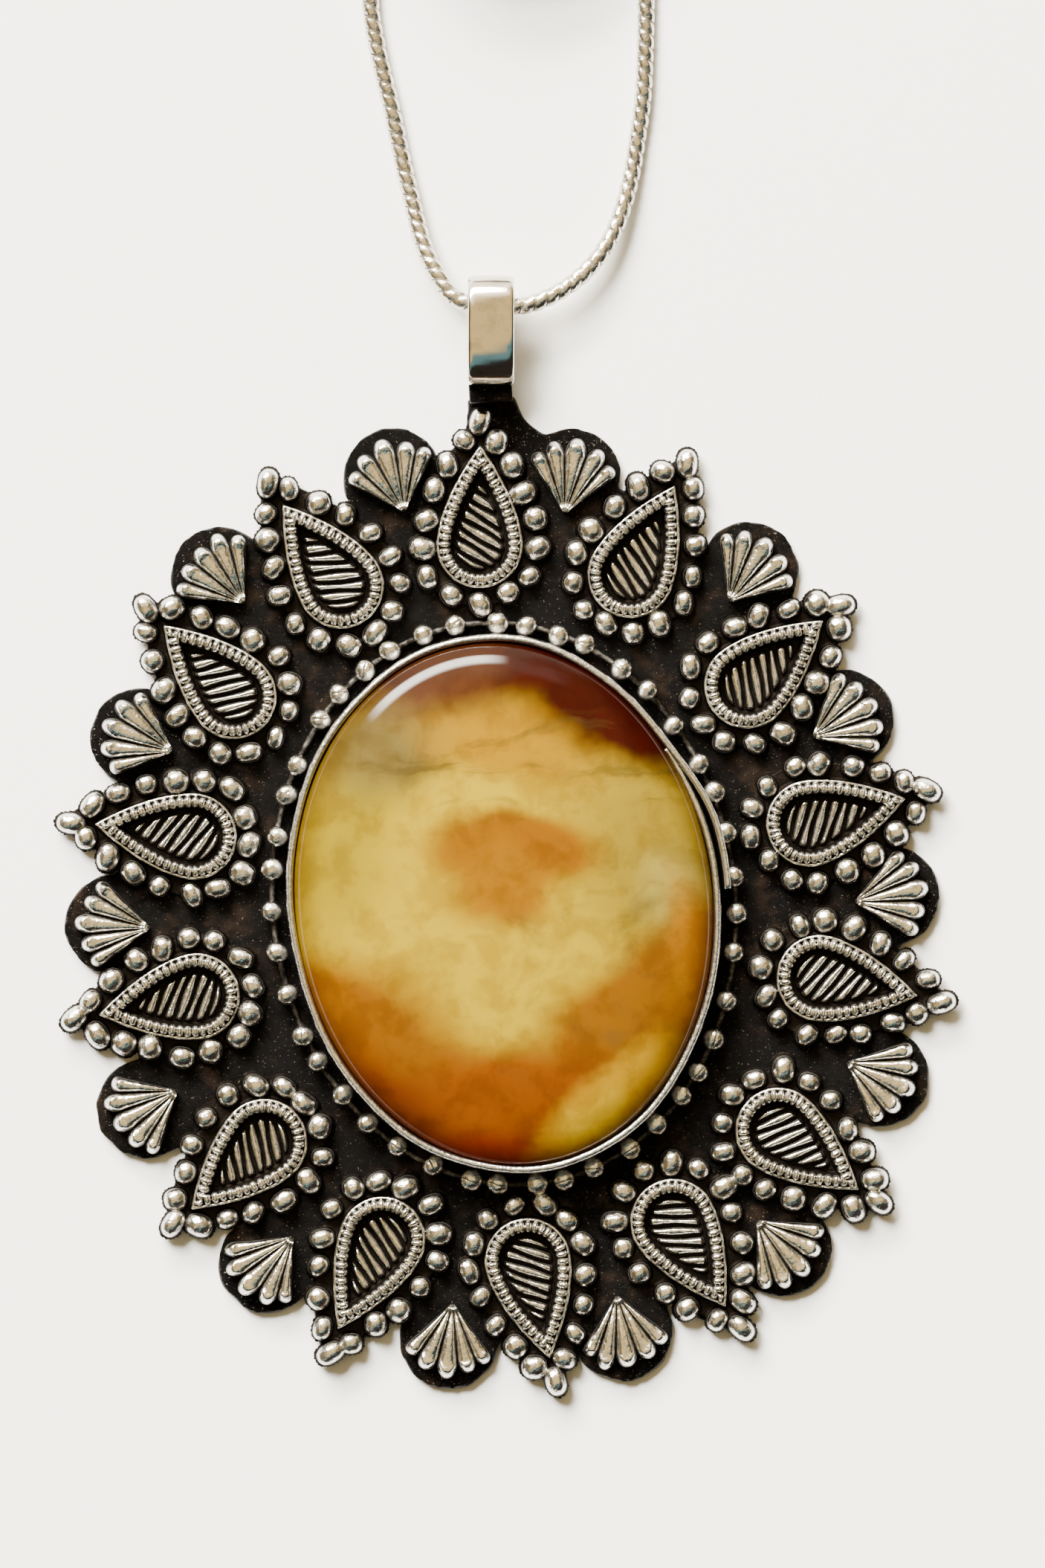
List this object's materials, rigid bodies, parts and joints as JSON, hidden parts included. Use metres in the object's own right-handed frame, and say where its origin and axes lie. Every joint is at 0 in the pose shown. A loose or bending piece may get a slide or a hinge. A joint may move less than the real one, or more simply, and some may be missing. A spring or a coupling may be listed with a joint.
{
  "type": "pendant necklace",
  "caption": "Oval stone pendant with stamped petals and fans on a blackened plate, swinging from a bail on a fine snake chain with a sprung clasp.",
  "frame": {"origin": "under the stone's centre, on the back plate's back face", "axes": "+Z out of the pendant's face, +Y up the pendant to the bail, +X to the wearer's left (right as seen)"},
  "size_m": [0.0601, 0.1158, 0.0066],
  "materials": {
    "blackened_plate": "oxidised, sandy",
    "ornament_silver": "stamped, blackened in the recesses",
    "bezel_silver": "burnished",
    "polished_silver": "polished",
    "agate": "polished, banded",
    "bedding_resin": "matte",
    "chain_silver": "bright",
    "fitting_silver": "polished"
  },
  "bodies": {
    "pendant": {"back_plate": "blackened_plate", "bail_tab": "blackened_plate", "bail": "polished_silver", "bezel_strip": "bezel_silver", "stone_bed": "bedding_resin", "stone": "agate", "beaded_ring": "ornament_silver", "petal_01": "ornament_silver", "petal_02": "ornament_silver", "petal_03": "ornament_silver", "petal_04": "ornament_silver", "petal_05": "ornament_silver", "petal_06": "ornament_silver", "petal_07": "ornament_silver", "petal_08": "ornament_silver", "petal_09": "ornament_silver", "petal_10": "ornament_silver", "petal_11": "ornament_silver", "petal_12": "ornament_silver", "petal_13": "ornament_silver", "petal_14": "ornament_silver", "fan_01": "ornament_silver", "fan_02": "ornament_silver", "fan_03": "ornament_silver", "fan_04": "ornament_silver", "fan_05": "ornament_silver", "fan_06": "ornament_silver", "fan_07": "ornament_silver", "fan_08": "ornament_silver", "fan_09": "ornament_silver", "fan_10": "ornament_silver", "fan_11": "ornament_silver", "fan_12": "ornament_silver", "fan_13": "ornament_silver", "fan_14": "ornament_silver"},
    "chain": {"snake_chain": "chain_silver", "chain_coil": "chain_silver", "clasp_end_cap": "fitting_silver", "ring_end_cap": "fitting_silver"},
    "jump_ring": {"clasp_jump_ring": "fitting_silver"},
    "clasp": {"clasp_body": "fitting_silver", "clasp_pin": "fitting_silver", "clasp_spring": "fitting_silver"},
    "lever": {"clasp_lever": "fitting_silver"},
    "tail_ring": {"end_ring": "fitting_silver"}
  },
  "joints": [
    {"name": "pendant_swing", "type": "hinge", "parent": "pendant", "child": "chain", "pos_m": [0.0012, 0.04005, 0.00215], "axis": [0.9978, -0.0663, 0], "range_deg": [-90, 120]},
    {"name": "jump_ring_swing", "type": "hinge", "parent": "chain", "child": "jump_ring", "pos_m": [0.0139, 0.0798, 0.0016], "axis": [0, 0, 1], "range_deg": [-35, 60]},
    {"name": "clasp_swing", "type": "hinge", "parent": "jump_ring", "child": "clasp", "pos_m": [0.0165, 0.0798, 0.0016], "axis": [0, 0, 1], "range_deg": [-35, 60]},
    {"name": "clasp_lever_open", "type": "hinge", "parent": "clasp", "child": "lever", "pos_m": [0.0211, 0.07865, 0.0016], "axis": [0, 0, 1], "range_deg": [0, 20], "stiffness_Nm_per_rad": 0.0005, "springref_deg": -11.46},
    {"name": "tail_ring_swing", "type": "hinge", "parent": "chain", "child": "tail_ring", "pos_m": [-0.0126, 0.0803, 0.00105], "axis": [0, 1, 0], "range_deg": [-60, 75]}
  ]
}
